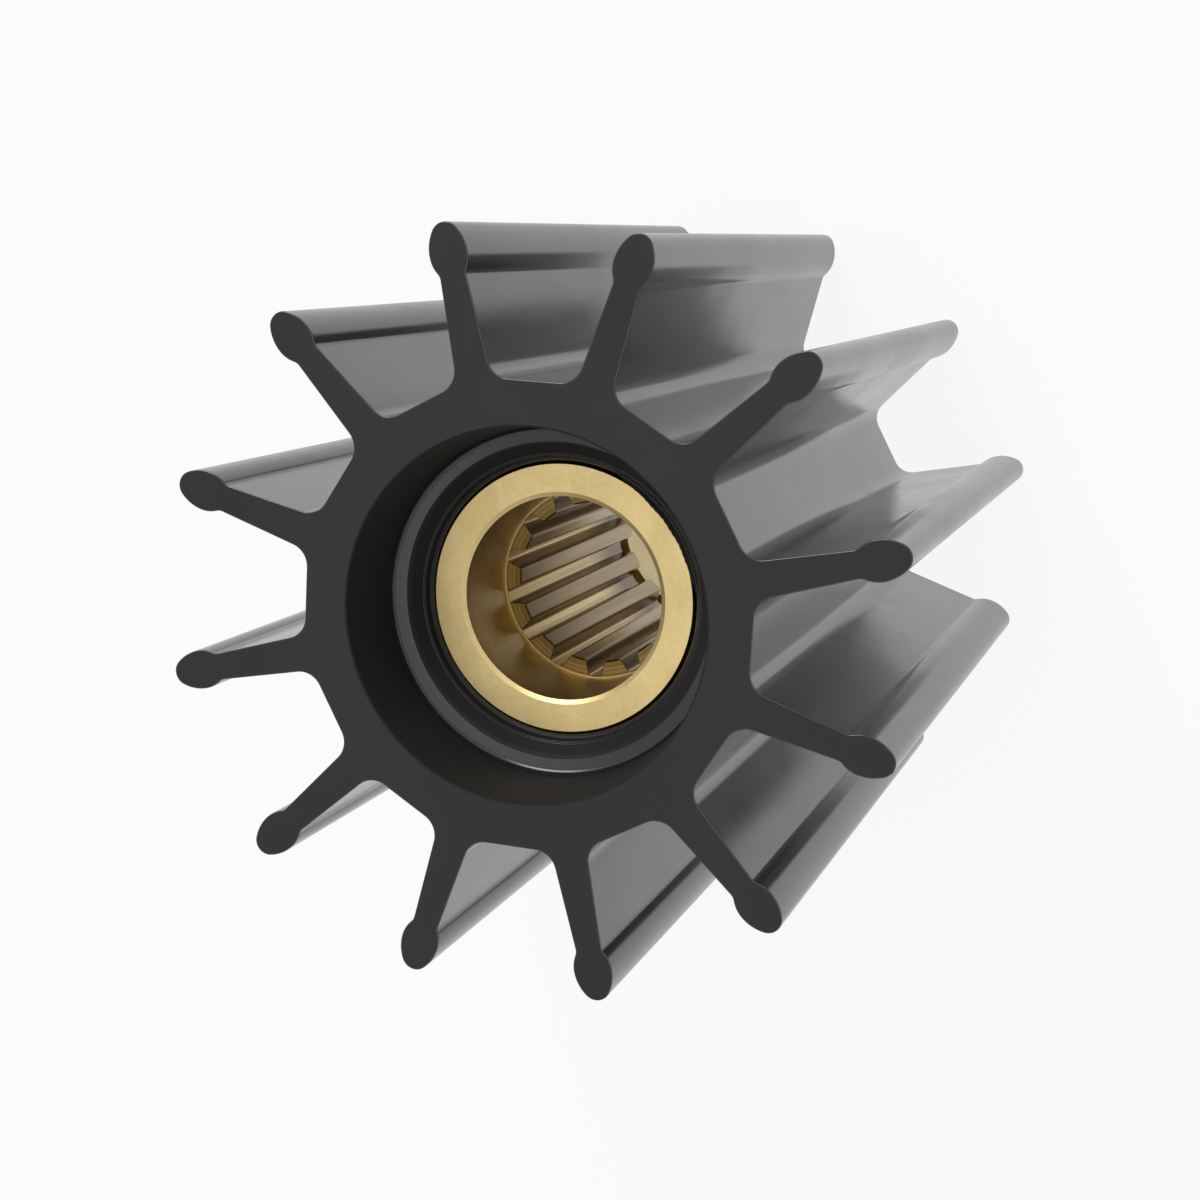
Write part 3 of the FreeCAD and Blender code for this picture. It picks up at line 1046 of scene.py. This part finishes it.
@dataclass
class Studio:
    """The pale floor, the soft light and the camera."""

    floor_size: float = 6.0
    floor_rings: Triple = (0.02, 0.2, 1.0)
    floor_segments: int = 96
    floor_tone: Colour = (0.86, 0.86, 0.86, 1.0)
    floor_height: float = -0.05 * MM
    glow_share: float = 0.9
    world_level: float = 0.45
    key_place: Triple = (0.72, 0.12, 0.68)
    key_size: float = 0.34
    key_watts: float = 4.0
    overhead_place: Triple = (0.0, 0.0, 1.1)
    overhead_size: float = 0.75
    overhead_watts: float = 1.2
    lit_place: Triple = (0.0, 0.0, 0.05)
    lens: float = 64.63
    eye: Triple = (0.02605, -0.09395, 0.33619)
    right: Triple = (-0.19267, -0.93149, -0.30855)
    up: Triple = (0.97612, -0.14979, -0.15732)
    back: Triple = (0.10033, -0.33149, 0.93811)

    @staticmethod
    def seen(sheet: Sheet) -> Socket:
        """1 for rays from the camera and from reflections, and 0 for all others."""
        path = sheet.add("ShaderNodeLightPath").outputs
        return sheet.math("MAXIMUM", path["Is Camera Ray"], path["Is Glossy Ray"])

    def build_floor(self) -> Piece:
        """Lays the plain floor: cloth that keeps the object's shadow, under an even white glow."""
        material = bpy.data.materials.new("floor_pale")
        sheet = emptied(material)
        cloth = sheet.add("ShaderNodeBsdfDiffuse", {"Color": self.floor_tone})
        glow = sheet.add("ShaderNodeEmission", {"Color": WHITE, "Strength": 1.0})
        share = sheet.math("MULTIPLY", self.seen(sheet), self.glow_share)
        mixed = sheet.add("ShaderNodeMixShader", {0: share, 1: cloth.outputs[0], 2: glow.outputs[0]})
        sheet.add("ShaderNodeOutputMaterial", {"Surface": mixed.outputs[0]})
        shell = Shell()
        places = np.array([(radius, self.floor_height) for radius in (*self.floor_rings, self.floor_size)])
        upward = np.tile([0.0, 1.0], (len(places), 1))
        rings = shell.lathe(Trace(places, upward), self.floor_segments)
        shell.faces.append(tuple(int(number) for number in rings[0]))
        shell.finishes.append(0)
        floor = shell.built("floor", [material])
        return floor

    def build_world(self) -> None:
        """Sets an even world that the camera and reflections see as white."""
        world = bpy.data.worlds.new("studio")
        bpy.context.scene.world = world
        sheet = emptied(world)
        level = sheet.ranged(self.seen(sheet), 0.0, 1.0, self.world_level, 1.0)
        light = sheet.add("ShaderNodeBackground", {"Color": WHITE, "Strength": level})
        sheet.add("ShaderNodeOutputWorld", {"Surface": light.outputs[0]})

    def add_lamp(self, name: str, place: Triple, size: float, watts: float) -> None:
        """Hangs a soft square lamp that shines on the middle of the part.

        Args:
            name: Name of the lamp.
            place: Where it hangs.
            size: Length of its side.
            watts: Its power.
        """
        lamp = bpy.data.lights.new(name, "AREA")
        lamp.size = size
        lamp.energy = watts
        hung = linked(name, lamp)
        hung.location = place
        aim = Vector(self.lit_place) - Vector(place)
        hung.rotation_euler = aim.to_track_quat("-Z", "Y").to_euler()

    def build_camera(self) -> None:
        """Sets the camera up."""
        camera = bpy.data.cameras.new("camera")
        camera.lens = self.lens
        camera.sensor_width = 36.0
        camera.clip_start, camera.clip_end = 0.01, 50.0
        stand = linked("camera", camera)
        turn = Matrix((self.right, self.up, self.back)).transposed()
        stand.matrix_world = Matrix.Translation(self.eye) @ turn.to_4x4()
        bpy.context.scene.camera = stand

    def build(self) -> None:
        """Builds the whole studio."""
        self.build_floor()
        self.build_world()
        self.add_lamp("lamp_key", self.key_place, self.key_size, self.key_watts)
        self.add_lamp("lamp_overhead", self.overhead_place, self.overhead_size, self.overhead_watts)
        self.build_camera()
        bpy.context.scene.view_settings.view_transform = "Standard"


def fit(piece: Piece, slot: Slot, node: str | None = None) -> None:
    """Ties a piece to the frame and reports it.

    Args:
        piece: The piece.
        slot: The record's slot that it takes its finish from, named in the report.
        node: The solid that it stands for, if any.
    """
    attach(piece, BODY)
    if node:
        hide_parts(node)
    log.info("%s: %d faces, slot %s, stands for %s", piece.name, len(piece.data.polygons), slot.value, node)


def main() -> None:
    """Builds the finishes, the pieces and the studio."""
    logging.basicConfig(level=logging.INFO, format="%(message)s")
    effects = EffectKit()
    night, deep = (0.004, 0.004, 0.0045, 1.0), (0.007, 0.007, 0.0077, 1.0)
    slate, haze = (0.013, 0.013, 0.0145, 1.0), (0.018, 0.018, 0.0198, 1.0)
    cool, cool_haze = (0.016, 0.0168, 0.0195, 1.0), (0.020, 0.0208, 0.0238, 1.0)
    rubber = [
        RubberFinish("rubber_faces", roughness=0.55, specular=0.28, bloom=0.2),
        # The sides' darker tones are partly the moulded skin and partly painted shade between the vanes.
        RubberFinish("rubber_sides", night, deep, 0.2, 0.9, grain_depth=0.000002, wave_depth=0.0003),
        RubberFinish("rubber_recess", cool, cool_haze, 0.55, 0.14),
        RubberFinish("rubber_shelf", slate, haze, 0.19, 0.5, wave_depth=0.00004),
        RubberFinish("rubber_groove", slate, haze, 0.45, 0.3),
    ]
    rubber = [finish.material(effects) for finish in rubber]
    brass = [
        BrassFinish("brass_turned"),
        BrassFinish(
            "brass_bored",
            (0.56, 0.405, 0.165, 1.0),
            (0.34, 0.24, 0.092, 1.0),
            0.34,
            ring_depth=0.000003,
            grain_depth=0.000002,
            patch_scale=60.0,
            patch_spread=0.3,
        ),
        BroachedBrass(
            "brass_broached", roughness=0.27, ring_depth=0.0, grain_depth=0.0000003, unevenness=0.02
        ),
        FacedBrass(
            "brass_faced",
            (0.27, 0.195, 0.08, 1.0),
            (0.17, 0.118, 0.045, 1.0),
            0.4,
            ring_scale=2600.0,
            ring_depth=0.00002,
        ),
        # The bevel's near-black tones are painted shade in the crevice beside the rubber.
        BevelBrass("brass_bevel", (0.08, 0.06, 0.03, 1.0), (0.02, 0.015, 0.01, 1.0), 0.4),
    ]
    fit(RubberBody().build(rubber), Slot.RUBBER, "rubber_body")
    fit(SplinedBush().build([finish.material(effects) for finish in brass]), Slot.BRASS, "splined_bush")
    fit(LipFlash().build(rubber[RubberPart.SHELF]), Slot.RUBBER)
    Studio().build()


if __name__ == "__main__":
    main()
